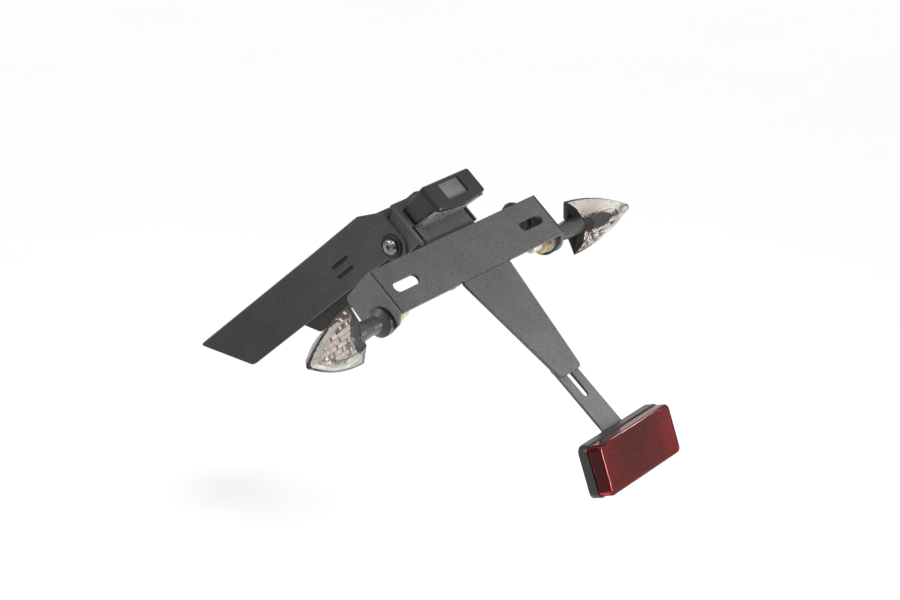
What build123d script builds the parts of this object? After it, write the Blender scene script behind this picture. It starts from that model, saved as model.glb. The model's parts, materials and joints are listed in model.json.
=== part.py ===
from build123d import *
import math
import os

os.makedirs("parts", exist_ok=True)

# Tail tidy: a folded sheet bracket under the tail, a number plate carrier on a neck that is clamped to
# it at a tilt, two indicators, a plate lamp and a reflector on a sliding strip. Millimetres.
# X is the rider's right, Y is forward and Z is up. The origin is the middle of the four mounting
# holes, on the top face of the bracket.

# Sheet and general clearances
carrier_sheet = 3.0
bracket_sheet = 2.5
strip_sheet = 2.5
side_play = 0.25
slide_gap = 0.15
seat_gap = 0.05
hole_clearance = 0.6
corner_radius = 1.0
thread_chamfer = 0.6
cut_past = 1.0
pick_near = 0.01
through = 60.0

# Main bracket, along its slope and across it from the pivot
bracket_slope = 41.7
mount_height = 36.0
mount_along = 132.0
mount_circle = 70.0
mount_hole_count = 4
mount_bolt_diameter = 6.0
loom_hole = 22.0
lower_edge_drop = 5.5
lug_radius = 12.5
rear_edge_lean = 5.0
rear_edge_height = 26.0
top_plate_start = 34.0
fold_along = 77.0
fold_splay = 3.0
front_low_along = 192.0
front_rake = 47.0
front_corner_radius = 6.0
bracket_bend_radius = 4.0
vent_length = 21.0
vent_width = 4.0
vent_along = 55.5
vent_heights = (7.5, 16.2)

# Plate carrier, in its own sheet plane: x across, y up the sheet, z out of its face
carrier_lean = 49.8
pivot_up = 39.4
pivot_back = 25.3
bar_half_width = 110.0
bar_height = 39.5
bar_rise = 20.0
plate_slot_half_spacing = 82.5
plate_slot_length = 30.0
plate_slot_width = 9.0
flange_depth = 33.0
flange_low_depth = 36.0
flange_drop = 4.5
flange_drop_back = 9.0
flange_corner_radius = 4.0
flange_low_radius = 15.0
indicator_hole_drop = 13.0
indicator_hole_back = 18.2
bend_radius = 2.0
tongue_top_width = 61.0
tongue_end_width = 28.0
tongue_length = 102.0
tongue_end_radius = 5.0
tongue_relief_radius = 1.6
tongue_bend = 1.2
bend_line_width = 0.6
end_line_width = 1.5
end_line_depth = 0.8
bend_line_depth = 0.5

# Neck, a second sheet lapped behind the crossbar, with ears folded forward for the pivot
ear_outer = 36.5
neck_top = 63.0
neck_corner_radius = 3.0
neck_lap = 34.0
ear_below_pivot = 13.0
ear_above_pivot = 20.0
relief_width = 3.0
relief_length = 20.0

# Clamp bolts at the pivot
pivot_bolt_diameter = 6.0
bolt_head_radius = 6.5
bolt_head_height = 3.6
bolt_head_round = 2.9
bolt_socket_flats = 4.0
bolt_socket_depth = 2.4
pivot_washer_radius = 9.7
pivot_washer_thickness = 1.6
lock_nut_flats = 10.0
lock_nut_height = 6.0
lock_nut_collar_radius = 4.4
bolt_tail = 1.5

# Reflector strip and its clamp, from the tongue's lower end
strip_width = 25.0
strip_lap = 29.5
strip_reach = 52.0
strip_foot_length = 34.0
strip_end_radius = 4.0
strip_stud_inset = 9.5
strip_stud_diameter = 6.0
strip_slot_above = 11.0
strip_slot_below = 28.0
strip_nut_flats = 10.0
strip_nut_height = 5.0
strip_washer_radius = 7.0
strip_washer_thickness = 1.5

# Reflector
reflector_lean = 19.8
reflector_width = 102.0
reflector_height = 42.0
reflector_base_depth = 8.0
reflector_base_wall = 2.0
reflector_corner_radius = 6.0
reflector_lens_inset = 1.0
reflector_lens_depth = 11.5
reflector_lens_wall = 2.5
reflector_lens_edge = 2.5
reflector_top_rise = 1.0
reflector_stud_diameter = 5.0
reflector_nut_flats = 8.0
reflector_nut_height = 4.0
reflector_washer_radius = 6.0
reflector_washer_thickness = 1.2
stud_tail = 1.5
stud_cover = 1.0

# Plate lamp on the neck
lamp_half_width = 30.0
lamp_front_up = 55.0
lamp_foot_up = 38.5
lamp_body_up = 34.5
lamp_hood_up = 31.0
lamp_hood_bow = 1.5
lamp_gasket_thickness = 1.0
lamp_gasket_inset = 4.0
lamp_body_height = 24.0
lamp_hood_thickness = 4.2
lamp_wall = 2.0
lamp_corner_radius = 2.0
lamp_lens_thickness = 4.0
lamp_lens_inset = 0.4
lamp_lens_lip = 0.9
lamp_lens_lip_thickness = 1.4
lamp_window_width = 26.0
lamp_window_length = 15.0
lamp_window_up = 44.5
lamp_window_recess = 1.4
lamp_window_thickness = 1.6
lamp_board_thickness = 1.6
lamp_led_radius = 2.4
lamp_led_height = 4.0
lamp_led_round = 2.2
lamp_led_spacing = 12.0
lamp_led_count = 4
lamp_screw_diameter = 4.0
lamp_screw_half_spacing = 18.0
lamp_screw_up = 47.5
lamp_screw_head_radius = 3.6
lamp_screw_head_height = 2.4
lamp_boss_radius = 4.0
lamp_boss_height = 9.0

# Indicators, from the hole in each carrier flange outwards
indicator_lean = 16.0
indicator_sweep = 9.7
indicator_droop = 1.4
indicator_root = 31.0
head_length = 73.0
head_balance = 28.0
head_half_height = 22.5
head_notch_depth = 12.0
head_side_bulge = 4.2
head_tip_radius = 3.0
head_front_depth = 10.0
head_rear_depth = 9.0
head_front_share = 0.62
head_rear_share = 0.6
head_rear_prong = 5.0
head_rear_notch = 7.0
head_front_prong = 14.0
head_front_notch = 21.0
head_prong_share = 0.36
head_dome_steps = 8
head_dome_power = 1.5
head_wall = 1.6
prong_band = 4.5
spear_length = 46.0
spear_shoulder = 32.0
spear_half_width = 5.5
stalk_foot_radius = 11.5
stalk_foot_length = 5.0
stalk_taper = 4.0
stalk_waist_radius = 6.8
stalk_waist_length = 9.0
stalk_end_radius = 8.0
stalk_flare = 2.0
stud_diameter = 10.0
stud_bore = 4.6
stud_inner_length = 24.0
stud_outer_length = 8.0
stem_washer_radius = 9.5
stem_washer_thickness = 1.8
spring_washer_radius = 8.4
spring_washer_thickness = 2.2
spring_washer_split = 1.2
stem_nut_flats = 15.0
stem_nut_height = 8.0
chrome_thickness = 1.2
chrome_floor = 3.4
bulb_radius = 4.2
bulb_round = 3.8
bulb_length = 11.0
bulb_base_radius = 3.4
bulb_base_length = 8.0

# Indicator leads, held behind the crossbar and plugged in behind the neck
lead_diameter = 4.0
plug_width = 9.0
plug_length = 18.0
plug_thickness = 7.0
plug_half_spacing = 13.0
plug_foot_up = 24.0
plug_edge_radius = 0.8
plug_approach = 11.0
lead_share = 0.45
lead_start = 21.0
lead_run = 16.5

# Corners of each lead's route: in from the crossbar's end, up the crossbar, and out of its face
right_lead_route = [
    (49.0, -4.0, -18.0),
    (44.0, 12.0, -14.0),
    (26.0, 26.0, -9.0),
    (11.0, 20.0, -10.0),
    (10.0, 4.0, -14.0),
    (19.0, -2.0, -23.0),
    (35.0, -6.0, -27.0),
    (55.0, -5.0, -24.0),
    (75.0, 0.0, -17.0),
    (92.0, 3.0, -10.0),
]
left_lead_route = [
    (56.0, -9.0, -17.0),
    (72.0, -11.5, -16.0),
    (86.0, -15.5, -15.0),
    (96.0, -8.0, -12.0),
    (96.5, 2.0, -10.0),
]


def slab(x0, x1, y0, y1, z0, z1):
    """A block between two corners."""
    size = Box(x1 - x0, y1 - y0, z1 - z0)
    return Pos((x0 + x1) / 2, (y0 + y1) / 2, (z0 + z1) / 2) * size


def outline(points, radii):
    """A closed face with a rounded corner at each point."""
    return make_face(FilletPolyline(*points, radius=radii, close=True))


def along_x(face, x0, x1):
    """A face drawn in y and z, given its thickness along x."""
    return extrude(Plane.YZ.offset(x0) * face, amount=x1 - x0, dir=(1, 0, 0))


def along_z(face, z0, z1):
    """A face drawn in x and y, given its thickness along z."""
    return extrude(Pos(0, 0, z0) * face, amount=z1 - z0, dir=(0, 0, 1))


def rod(radius, x0, x1, y=0.0, z=0.0):
    """A round bar along x."""
    return along_x(Pos(y, z) * Circle(radius), x0, x1)


def post(radius, z0, z1, x=0.0, y=0.0):
    """A round bar along z."""
    return along_z(Pos(x, y) * Circle(radius), z0, z1)


def hex_rod(flats, x0, x1, y=0.0, z=0.0):
    """A hexagon bar along x, sized across its flats."""
    face = RegularPolygon(radius=flats / 2, side_count=6, major_radius=False)
    return along_x(Pos(y, z) * face, x0, x1)


def hex_post(flats, z0, z1, x=0.0, y=0.0):
    """A hexagon bar along z, sized across its flats."""
    face = RegularPolygon(radius=flats / 2, side_count=6, major_radius=False)
    return along_z(Pos(x, y) * face, z0, z1)


def flipped(shape):
    """The same piece on the other side of the bike."""
    return mirror(shape, about=Plane.YZ)


def save(shape, name):
    """Write one named piece."""
    shape.label = name
    export_step(shape, f"parts/{name}.step")


# Frames. The bracket's frame has y along its slope, forward and down, and z square to its top face.
slope = math.radians(bracket_slope)
bracket_down = Vector(0, math.cos(slope), -math.sin(slope))
bracket_up = Vector(0, math.sin(slope), math.cos(slope))
pivot = -mount_along * bracket_down - mount_height * bracket_up
bracket_frame = Plane(origin=pivot, x_dir=(1, 0, 0), z_dir=bracket_up)

# The carrier's frame has its origin on the crossbar's face, midway between the plate slots.
lean = math.radians(carrier_lean)
carrier_up = Vector(0, math.sin(lean), math.cos(lean))
carrier_out = Vector(0, -math.cos(lean), math.sin(lean))
bar_middle = pivot - pivot_up * carrier_up + pivot_back * carrier_out
carrier_frame = Plane(origin=bar_middle, x_dir=(1, 0, 0), z_dir=carrier_out)

bracket_inner = ear_outer + side_play
bracket_outer = bracket_inner + bracket_sheet
ear_inner = ear_outer - carrier_sheet
bar_bottom = bar_rise - bar_height
bar_inner = bar_half_width - carrier_sheet
neck_face = -carrier_sheet
neck_back = neck_face - carrier_sheet
mount_hole = mount_bolt_diameter + hole_clearance
pivot_hole = pivot_bolt_diameter + hole_clearance
lamp_screw_hole = lamp_screw_diameter + hole_clearance
tongue_frame = carrier_frame * Pos(0, bar_bottom, 0) * Rot(-tongue_bend, 0, 0)


def make_main_bracket():
    """Folded channel: a mounting plate with two side plates that hang from it."""
    front_top_along = front_low_along + (mount_height + lower_edge_drop) / math.tan(math.radians(front_rake))
    rear_end = -2 * lug_radius
    front_end = front_top_along + lug_radius
    spread = (front_end - fold_along) * math.tan(math.radians(fold_splay))

    def plan(half_width):
        left = [(-half_width, rear_end), (-half_width, fold_along), (-half_width - spread, front_end)]
        right = [(-x, y) for x, y in reversed(left)]
        return Polygon(*left, *right, align=None)

    lowest = -2 * lug_radius
    shell = along_z(plan(bracket_outer), lowest, mount_height)
    top_edges = shell.edges().filter_by(lambda e: e.center().Z > mount_height - pick_near)
    side_edges = top_edges.filter_by(lambda e: abs(e.center().X) > bracket_outer - pick_near)
    shell = fillet(side_edges, bracket_bend_radius)
    shell -= along_z(plan(bracket_inner), lowest, mount_height - bracket_sheet)
    shell -= slab(-bracket_inner, bracket_inner, rear_end, top_plate_start, -through, through)

    corners = [
        (0, -lower_edge_drop),
        (front_low_along, -lower_edge_drop),
        (front_top_along, mount_height),
        (top_plate_start / 2, mount_height),
        (rear_edge_lean - lug_radius, rear_edge_height),
        (-lug_radius, 0),
    ]
    broad = front_corner_radius
    fine = corner_radius
    side = outline(corners, [fine, broad, fine, broad, broad, fine]) + Circle(lug_radius)
    side -= Circle(pivot_hole / 2)
    for height in vent_heights:
        side -= Pos(vent_along, height) * SlotOverall(vent_length, vent_width)
    bracket = shell & along_x(side, -through, through)

    holes = PolarLocations(mount_circle / 2, mount_hole_count, start_angle=180 / mount_hole_count)
    for place in holes:
        bracket -= Pos(0, mount_along, 0) * place * post(mount_hole / 2, mount_height - through / 2, through)
    bracket -= post(loom_hole / 2, mount_height - through / 2, through, 0, mount_along)
    return bracket_frame * bracket


def make_plate_carrier():
    """One folded sheet: crossbar and tongue, with a flange for an indicator at each end."""
    half_top = tongue_top_width / 2
    half_end = tongue_end_width / 2
    bend = math.radians(tongue_bend)
    tongue_end = bar_bottom - tongue_length * math.cos(bend)
    tongue_out = tongue_length * math.sin(bend)
    face = Pos(0, bar_rise - bar_height / 2) * Rectangle(2 * bar_half_width, bar_height)
    tongue = [
        (-half_top, 0),
        (half_top, 0),
        (half_top, bar_bottom),
        (half_end, tongue_end),
        (-half_end, tongue_end),
        (-half_top, bar_bottom),
    ]
    blunt = corner_radius / 2
    face += outline(tongue, [blunt, blunt, blunt, tongue_end_radius, tongue_end_radius, blunt])
    for side in (-1, 1):
        face -= Pos(side * plate_slot_half_spacing, 0) * SlotOverall(plate_slot_length, plate_slot_width)
        face -= Pos(side * (half_top + tongue_relief_radius / 2), bar_bottom) * Circle(tongue_relief_radius)
    profile = Polygon(
        (bar_rise, 0),
        (bar_rise, -carrier_sheet),
        (bar_bottom - carrier_sheet * math.tan(bend / 2), -carrier_sheet),
        (tongue_end - carrier_sheet * math.sin(bend), tongue_out - carrier_sheet * math.cos(bend)),
        (tongue_end, tongue_out),
        (bar_bottom, 0),
        align=None,
    )
    sheet = along_x(profile, -bar_half_width, bar_half_width)
    carrier = along_z(face, -through, through) & sheet

    corners = [
        (bar_rise, 0),
        (bar_rise, -flange_depth),
        (bar_bottom - flange_drop, -flange_low_depth),
        (bar_bottom - flange_drop, -flange_drop_back),
        (bar_bottom, -carrier_sheet),
        (bar_bottom, 0),
    ]
    back_radii = [flange_corner_radius, flange_low_radius, flange_corner_radius]
    flange = outline(corners, [blunt, *back_radii, blunt, blunt])
    flange += Pos(bar_rise - bar_height / 2, -carrier_sheet / 2) * Rectangle(bar_height, carrier_sheet)
    stem_hole = Circle((stud_diameter + hole_clearance) / 2)
    flange -= Pos(-indicator_hole_drop, -indicator_hole_back) * stem_hole
    right_flange = along_x(flange, bar_inner, bar_half_width)
    carrier += right_flange + flipped(right_flange)

    folds = carrier.edges().filter_by(Axis.Y).filter_by(lambda e: abs(e.center().Z) < pick_near)
    bar_folds = folds.filter_by(lambda e: abs(abs(e.center().X) - bar_half_width) < pick_near)
    carrier = fillet(bar_folds, bend_radius)
    carrier -= slab(-half_top, half_top, bar_bottom - bend_line_width, bar_bottom, -bend_line_depth, cut_past)
    fold_line = bar_half_width - bend_radius
    end_line = slab(fold_line - end_line_width, fold_line, bar_bottom, bar_rise, -end_line_depth, cut_past)
    carrier -= end_line + flipped(end_line)
    return carrier_frame * carrier


def make_neck_plate():
    """Second sheet, lapped behind the crossbar: the lamp's seat, with an ear folded at each side."""
    lap_low = bar_rise - neck_lap
    lap_half = ear_inner - relief_width
    ear_foot = bar_rise + relief_width
    face = Pos(0, (ear_foot + neck_top) / 2) * Rectangle(2 * ear_outer, neck_top - ear_foot)
    face = fillet(face.vertices().group_by(Axis.Y)[-1], neck_corner_radius)
    for side in (-1, 1):
        slit_middle = side * (ear_inner - relief_width / 2)
        face -= Pos(slit_middle, bar_rise + relief_length / 2) * Rectangle(relief_width, relief_length)
        face -= Pos(side * lamp_screw_half_spacing, lamp_screw_up) * Circle(lamp_screw_hole / 2)
    slit_top = bar_rise + relief_length
    face += Pos(0, (lap_low + slit_top) / 2) * Rectangle(2 * lap_half, slit_top - lap_low)
    neck = along_z(face, neck_back, neck_face)

    ear_low = pivot_up - ear_below_pivot
    ear_high = pivot_up + ear_above_pivot
    ear = Polygon(
        (ear_low, neck_face),
        (ear_high, neck_face),
        (pivot_up + lug_radius, -pivot_back),
        (pivot_up - lug_radius, -pivot_back),
        align=None,
    )
    ear += Pos(pivot_up, -pivot_back) * Circle(lug_radius)
    ear -= Pos(pivot_up, -pivot_back) * Circle(pivot_hole / 2)
    right_ear = along_x(ear, ear_inner, ear_outer)
    neck += right_ear + flipped(right_ear)

    folds = neck.edges().filter_by(Axis.Y).filter_by(lambda e: abs(e.center().Z - neck_face) < pick_near)
    neck_folds = folds.filter_by(lambda e: abs(abs(e.center().X) - ear_outer) < pick_near)
    return carrier_frame * fillet(neck_folds, bend_radius)


def make_pivot_bolt():
    """Button head bolt along x, with its head outside the right side plate."""
    seat = bracket_outer + pivot_washer_thickness
    end = ear_inner - lock_nut_height - bolt_tail
    head = rod(bolt_head_radius, seat, seat + bolt_head_height)
    head = fillet(head.edges().sort_by(Axis.X)[-1], bolt_head_round)
    top = seat + bolt_head_height
    head -= hex_rod(bolt_socket_flats, top - bolt_socket_depth, top + cut_past)
    shank = rod(pivot_bolt_diameter / 2, end, seat)
    tip = shank.edges().sort_by(Axis.X)[0]
    return head + chamfer(tip, thread_chamfer)


def make_pivot_washer():
    """Large washer under the bolt head."""
    washer = rod(pivot_washer_radius, bracket_outer, bracket_outer + pivot_washer_thickness)
    washer = fillet(washer.edges().sort_by(Axis.X)[-1], pivot_washer_thickness / 4)
    return washer - rod(pivot_hole / 2, 0, through)


def make_pivot_nut():
    """Lock nut on the inside of the ear, with a round collar."""
    face = ear_inner - seat_gap
    collar = lock_nut_height / 3
    nut = hex_rod(lock_nut_flats, face - lock_nut_height + collar, face)
    nut += rod(lock_nut_collar_radius, face - lock_nut_height, face - lock_nut_height + collar)
    return nut - rod(pivot_bolt_diameter / 2, 0, through)


def bolt_ready(shape):
    """Put a piece of the clamp on the pivot axis."""
    return Pos(pivot.X, pivot.Y, pivot.Z) * shape


# Reflector strip. In the tongue's frame it lies behind the tongue; its foot turns to the reflector.
strip_front = -carrier_sheet - slide_gap
strip_back = strip_front - strip_sheet
strip_top_drop = tongue_length - strip_lap
strip_stud_drop = tongue_length - strip_stud_inset
strip_bend_drop = tongue_length + strip_reach
foot_turn = carrier_lean + tongue_bend - reflector_lean
foot_frame = tongue_frame * Pos(0, -strip_bend_drop, strip_front) * Rot(foot_turn, 0, 0)


def make_reflector_strip():
    """Slotted strip that slides behind the tongue and carries the reflector on its bent foot."""
    length = strip_bend_drop - strip_top_drop
    blade = Pos(0, -strip_top_drop - length / 2) * Rectangle(strip_width, length)
    blade = fillet(blade.vertices().group_by(Axis.Y)[-1], strip_end_radius)
    slot_width = strip_stud_diameter + hole_clearance
    slot_middle = strip_stud_drop + (strip_slot_below - strip_slot_above) / 2
    slot_length = strip_slot_above + strip_slot_below + slot_width
    blade -= Pos(0, -slot_middle) * SlotOverall(slot_length, slot_width, rotation=90)
    upper = tongue_frame * along_z(blade, strip_back, strip_front)

    foot = Pos(0, -strip_foot_length / 2) * Rectangle(strip_width, strip_foot_length)
    foot = fillet(foot.vertices().group_by(Axis.Y)[0], strip_end_radius)
    foot -= Pos(0, reflector_middle) * Circle(reflector_stud_hole / 2)
    lower = foot_frame * along_z(foot, -strip_sheet, 0)
    return upper + lower


# Height of the reflector's middle in the foot's frame, with its top just over the bend, and its stud's boss.
reflector_middle = reflector_top_rise - reflector_height / 2
reflector_boss_top = reflector_base_depth - reflector_base_wall
reflector_stud_top = reflector_boss_top - stud_cover
reflector_stud_hole = reflector_stud_diameter + hole_clearance
washer_back = -strip_sheet - reflector_washer_thickness


def make_strip_stud():
    """Stud welded to the back of the tongue."""
    end = strip_back - strip_washer_thickness - strip_nut_height - stud_tail
    stud = post(strip_stud_diameter / 2, end, -carrier_sheet, 0, -strip_stud_drop)
    return tongue_frame * chamfer(stud.edges().sort_by(Axis.Z)[0], thread_chamfer)


def make_strip_washer():
    """Washer behind the strip."""
    top = strip_back - seat_gap
    washer = post(strip_washer_radius, top - strip_washer_thickness, top, 0, -strip_stud_drop)
    hole = post((strip_stud_diameter + hole_clearance) / 2, -through, 0, 0, -strip_stud_drop)
    return tongue_frame * (washer - hole)


def make_strip_nut():
    """Nut that clamps the strip to the tongue."""
    top = strip_back - seat_gap - strip_washer_thickness
    nut = hex_post(strip_nut_flats, top - strip_nut_height, top, 0, -strip_stud_drop)
    return tongue_frame * (nut - post(strip_stud_diameter / 2, -through, 0, 0, -strip_stud_drop))


def reflector_block(inset, z0, z1):
    """A block of the reflector's outline, drawn in by an inset."""
    width = reflector_width - 2 * inset
    height = reflector_height - 2 * inset
    face = RectangleRounded(width, height, reflector_corner_radius - inset)
    return along_z(Pos(0, reflector_middle) * face, z0, z1)


def make_reflector_base():
    """Black tray with a moulded stud boss; its back lies on the strip's foot."""
    base = reflector_block(0, 0, reflector_base_depth)
    base -= reflector_block(reflector_base_wall, reflector_base_wall, reflector_base_depth)
    base += post(reflector_stud_diameter, 0, reflector_boss_top, 0, reflector_middle)
    base -= post(reflector_stud_diameter / 2, -cut_past, reflector_stud_top, 0, reflector_middle)
    return foot_frame * base


def make_reflector_lens():
    """Red lens cup that closes the tray."""
    top = reflector_base_depth + reflector_lens_depth
    lens = reflector_block(reflector_lens_inset, reflector_base_depth, top)
    lens = fillet(lens.edges().group_by(Axis.Z)[-1], reflector_lens_edge)
    inset = reflector_lens_inset + reflector_lens_wall
    hollow = reflector_block(inset, reflector_base_depth, top - reflector_lens_wall)
    return foot_frame * (lens - hollow)


def make_reflector_stud():
    """Threaded stud moulded in the tray."""
    end = washer_back - reflector_nut_height - stud_tail
    stud = post(reflector_stud_diameter / 2, end, reflector_stud_top, 0, reflector_middle)
    return foot_frame * chamfer(stud.edges().sort_by(Axis.Z)[0], thread_chamfer)


def make_reflector_washer():
    """Washer on the back of the strip's foot."""
    washer = post(reflector_washer_radius, washer_back, -strip_sheet, 0, reflector_middle)
    return foot_frame * (washer - post(reflector_stud_hole / 2, -through, 0, 0, reflector_middle))


def make_reflector_nut():
    """Nut that holds the reflector to the strip."""
    nut = hex_post(reflector_nut_flats, washer_back - reflector_nut_height, washer_back, 0, reflector_middle)
    return foot_frame * (nut - post(reflector_stud_diameter / 2, -through, 0, 0, reflector_middle))


# Plate lamp, in the carrier's frame on the neck's face
lamp_foot = neck_face + lamp_gasket_thickness
lamp_seam = lamp_foot + lamp_body_height
lamp_top = lamp_seam + lamp_hood_thickness
lamp_boss_top = lamp_foot + lamp_boss_height
lamp_screw_top = lamp_boss_top - stud_cover


def lamp_profile(inset):
    """Side view of the lamp body, drawn in by an inset."""
    return Polygon(
        (lamp_front_up - inset, lamp_foot + inset),
        (lamp_front_up - inset, lamp_seam),
        (lamp_body_up + inset, lamp_seam),
        (lamp_foot_up + inset, lamp_foot + inset),
        align=None,
    )


def make_lamp_body():
    """Lamp body: a box that is open at the top and at its sloping rear face."""
    body = along_x(lamp_profile(0), -lamp_half_width, lamp_half_width)
    ends = body.edges().filter_by(lambda e: abs(e.center().X) > lamp_half_width - pick_near)
    body = fillet(ends.filter_by(lambda e: e.center().Z < lamp_seam - pick_near), lamp_corner_radius)
    body -= along_x(lamp_profile(lamp_wall), lamp_wall - lamp_half_width, lamp_half_width - lamp_wall)
    opening = Polygon(
        (lamp_body_up - lamp_wall, lamp_seam - lamp_wall),
        (lamp_body_up + 2 * lamp_wall, lamp_seam - lamp_wall),
        (lamp_foot_up + 2 * lamp_wall, lamp_foot + lamp_wall),
        (lamp_foot_up - lamp_wall, lamp_foot + lamp_wall),
        align=None,
    )
    reach = lamp_half_width - 2 * lamp_wall
    body -= along_x(opening, -reach, reach)
    for side in (-1, 1):
        x = side * lamp_screw_half_spacing
        body += post(lamp_boss_radius, lamp_foot, lamp_boss_top, x, lamp_screw_up)
        body -= post(lamp_screw_diameter / 2, lamp_foot - cut_past, lamp_screw_top, x, lamp_screw_up)
    return carrier_frame * body


def lamp_pane():
    """Outline of the window pane, wider than the opening in the cap."""
    pane = Rectangle(lamp_window_width + 2 * lamp_wall, lamp_window_length + lamp_wall)
    return Pos(0, lamp_window_up) * pane


def bowed_face(reach, low, high):
    """Outline whose lower edge bows downwards, up to a straight upper edge."""
    ends = low + lamp_hood_bow
    bow = ThreePointArc((reach, ends), (0, low - lamp_hood_bow), (-reach, ends))
    sides = Polyline((-reach, ends), (-reach, high), (reach, high), (reach, ends))
    return make_face([bow, sides])


def make_lamp_hood():
    """Cap of the lamp, with a lip over the lens and a window frame."""
    face = bowed_face(lamp_half_width, lamp_hood_up, lamp_front_up)
    hood = along_z(face, lamp_seam, lamp_top)
    hood = fillet(hood.edges().filter_by(Axis.Z), lamp_corner_radius)
    hood = chamfer(hood.edges().group_by(Axis.Z)[-1], lamp_corner_radius / 2)
    window = RectangleRounded(lamp_window_width, lamp_window_length, corner_radius)
    hood -= along_z(Pos(0, lamp_window_up) * window, lamp_seam, lamp_top + cut_past)
    hood -= along_z(lamp_pane(), lamp_seam, lamp_top - lamp_window_recess)
    return carrier_frame * hood


def make_lamp_window():
    """Pale window set into the cap from below."""
    top = lamp_top - lamp_window_recess
    return carrier_frame * along_z(lamp_pane(), top - lamp_window_thickness, top)


def make_lamp_lens():
    """Clear lens over the lamp's sloping rear face."""
    slant = math.atan2(lamp_foot_up - lamp_body_up, lamp_body_height)
    shift_up = lamp_lens_thickness * math.cos(slant)
    shift_out = lamp_lens_thickness * math.sin(slant)
    low = lamp_foot + lamp_lens_inset
    low_up = lamp_foot_up - lamp_lens_inset * math.tan(slant)
    side = Polygon(
        (low_up, low),
        (lamp_body_up, lamp_seam),
        (lamp_body_up - shift_up, lamp_seam),
        (low_up - shift_up, low + 2 * shift_out),
        align=None,
    )
    reach = lamp_half_width - lamp_lens_inset
    lens = along_x(side, -reach, reach)
    outer = lens.faces().sort_by(lambda f: f.normal_at().Y)[0].edges()
    lens = fillet(outer.filter_by(lambda e: abs(e.center().X) > reach - pick_near), lamp_lens_thickness / 2)
    lip = bowed_face(reach - lamp_corner_radius, lamp_hood_up - lamp_lens_lip, lamp_body_up)
    lens += along_z(lip, lamp_seam - lamp_lens_lip_thickness, lamp_seam)
    return carrier_frame * lens


def make_lamp_gasket():
    """Rubber pad between the lamp and the neck."""
    width = 2 * (lamp_half_width - lamp_gasket_inset)
    length = lamp_front_up - lamp_foot_up - lamp_gasket_inset / 2
    middle = (lamp_front_up + lamp_foot_up) / 2
    pad = Pos(0, middle) * RectangleRounded(width, length, corner_radius)
    for side in (-1, 1):
        pad -= Pos(side * lamp_screw_half_spacing, lamp_screw_up) * Circle(lamp_screw_hole / 2)
    return carrier_frame * along_z(pad, neck_face, lamp_foot)


lamp_board_up = lamp_front_up - lamp_wall - lamp_board_thickness
lamp_board_low = lamp_boss_top + lamp_wall


def make_lamp_board():
    """Circuit board against the lamp's front wall, above the screw bosses."""
    reach = lamp_half_width - lamp_wall - side_play
    front = lamp_front_up - lamp_wall
    return carrier_frame * slab(-reach, reach, lamp_board_up, front, lamp_board_low, lamp_seam)


def make_lamp_leds():
    """Row of light emitting diodes on the board, facing down the number plate."""
    middle = (lamp_board_low + lamp_seam) / 2
    first = -lamp_led_spacing * (lamp_led_count - 1) / 2
    leds = []
    for index in range(lamp_led_count):
        dome = post(lamp_led_radius, 0, lamp_led_height)
        dome = fillet(dome.edges().group_by(Axis.Z)[-1], lamp_led_round)
        place = Pos(first + index * lamp_led_spacing, lamp_board_up, middle) * Rot(90, 0, 0)
        leds.append(carrier_frame * place * dome)
    return Compound(children=leds)


def make_lamp_screws():
    """Two screws from behind the neck into the lamp's bosses."""
    screws = []
    for side in (-1, 1):
        x = side * lamp_screw_half_spacing
        head_top = neck_back
        head = post(lamp_screw_head_radius, head_top - lamp_screw_head_height, head_top, x, lamp_screw_up)
        head = fillet(head.edges().group_by(Axis.Z)[0], lamp_screw_head_height / 2)
        shank = post(lamp_screw_diameter / 2, head_top, lamp_screw_top, x, lamp_screw_up)
        screws.append(carrier_frame * (head + shank))
    return Compound(children=screws)


# Indicators. The stem axis runs along x through the hole in the flange; the head is leant and swept.
stem_point = carrier_frame.from_local_coords((bar_half_width, -indicator_hole_drop, -indicator_hole_back))
stem_frame = Pos(stem_point.X, stem_point.Y, stem_point.Z)
head_tilt = math.radians(indicator_lean)
head_out = (0, -math.cos(head_tilt), math.sin(head_tilt))
head_plane = Plane(origin=stem_point, x_dir=(1, 0, 0), z_dir=head_out)
head_turn = Rot(0, -indicator_sweep, 0) * Rot(0, 0, -indicator_droop)
head_frame = head_plane * Pos(indicator_root, 0, 0) * head_turn


def drawn(x, share):
    """A place along the head, drawn in towards its balance point."""
    return head_balance + (x - head_balance) * share


def head_wire(share, level, prong, notch_x):
    """Arrowhead outline at a level above the parting face, with its sides drawn in by a share."""
    def at(x, y):
        return (drawn(x, share), y * share, level)

    side_mid_x = head_length / 2 + head_side_bulge
    side_mid_y = head_half_height / 2 + head_side_bulge
    tip_x = head_length - head_tip_radius
    prong_x, prong_y = prong
    high = (prong_x, prong_y, level)
    low = (prong_x, -prong_y, level)
    upper = ThreePointArc(high, at(side_mid_x, side_mid_y), at(tip_x, head_tip_radius))
    tip = ThreePointArc(at(tip_x, head_tip_radius), at(head_length, 0), at(tip_x, -head_tip_radius))
    lower = ThreePointArc(at(tip_x, -head_tip_radius), at(side_mid_x, -side_mid_y), low)
    inner = Polyline(low, (notch_x, 0, level), high)
    return make_face([upper, tip, lower, inner])


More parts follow.
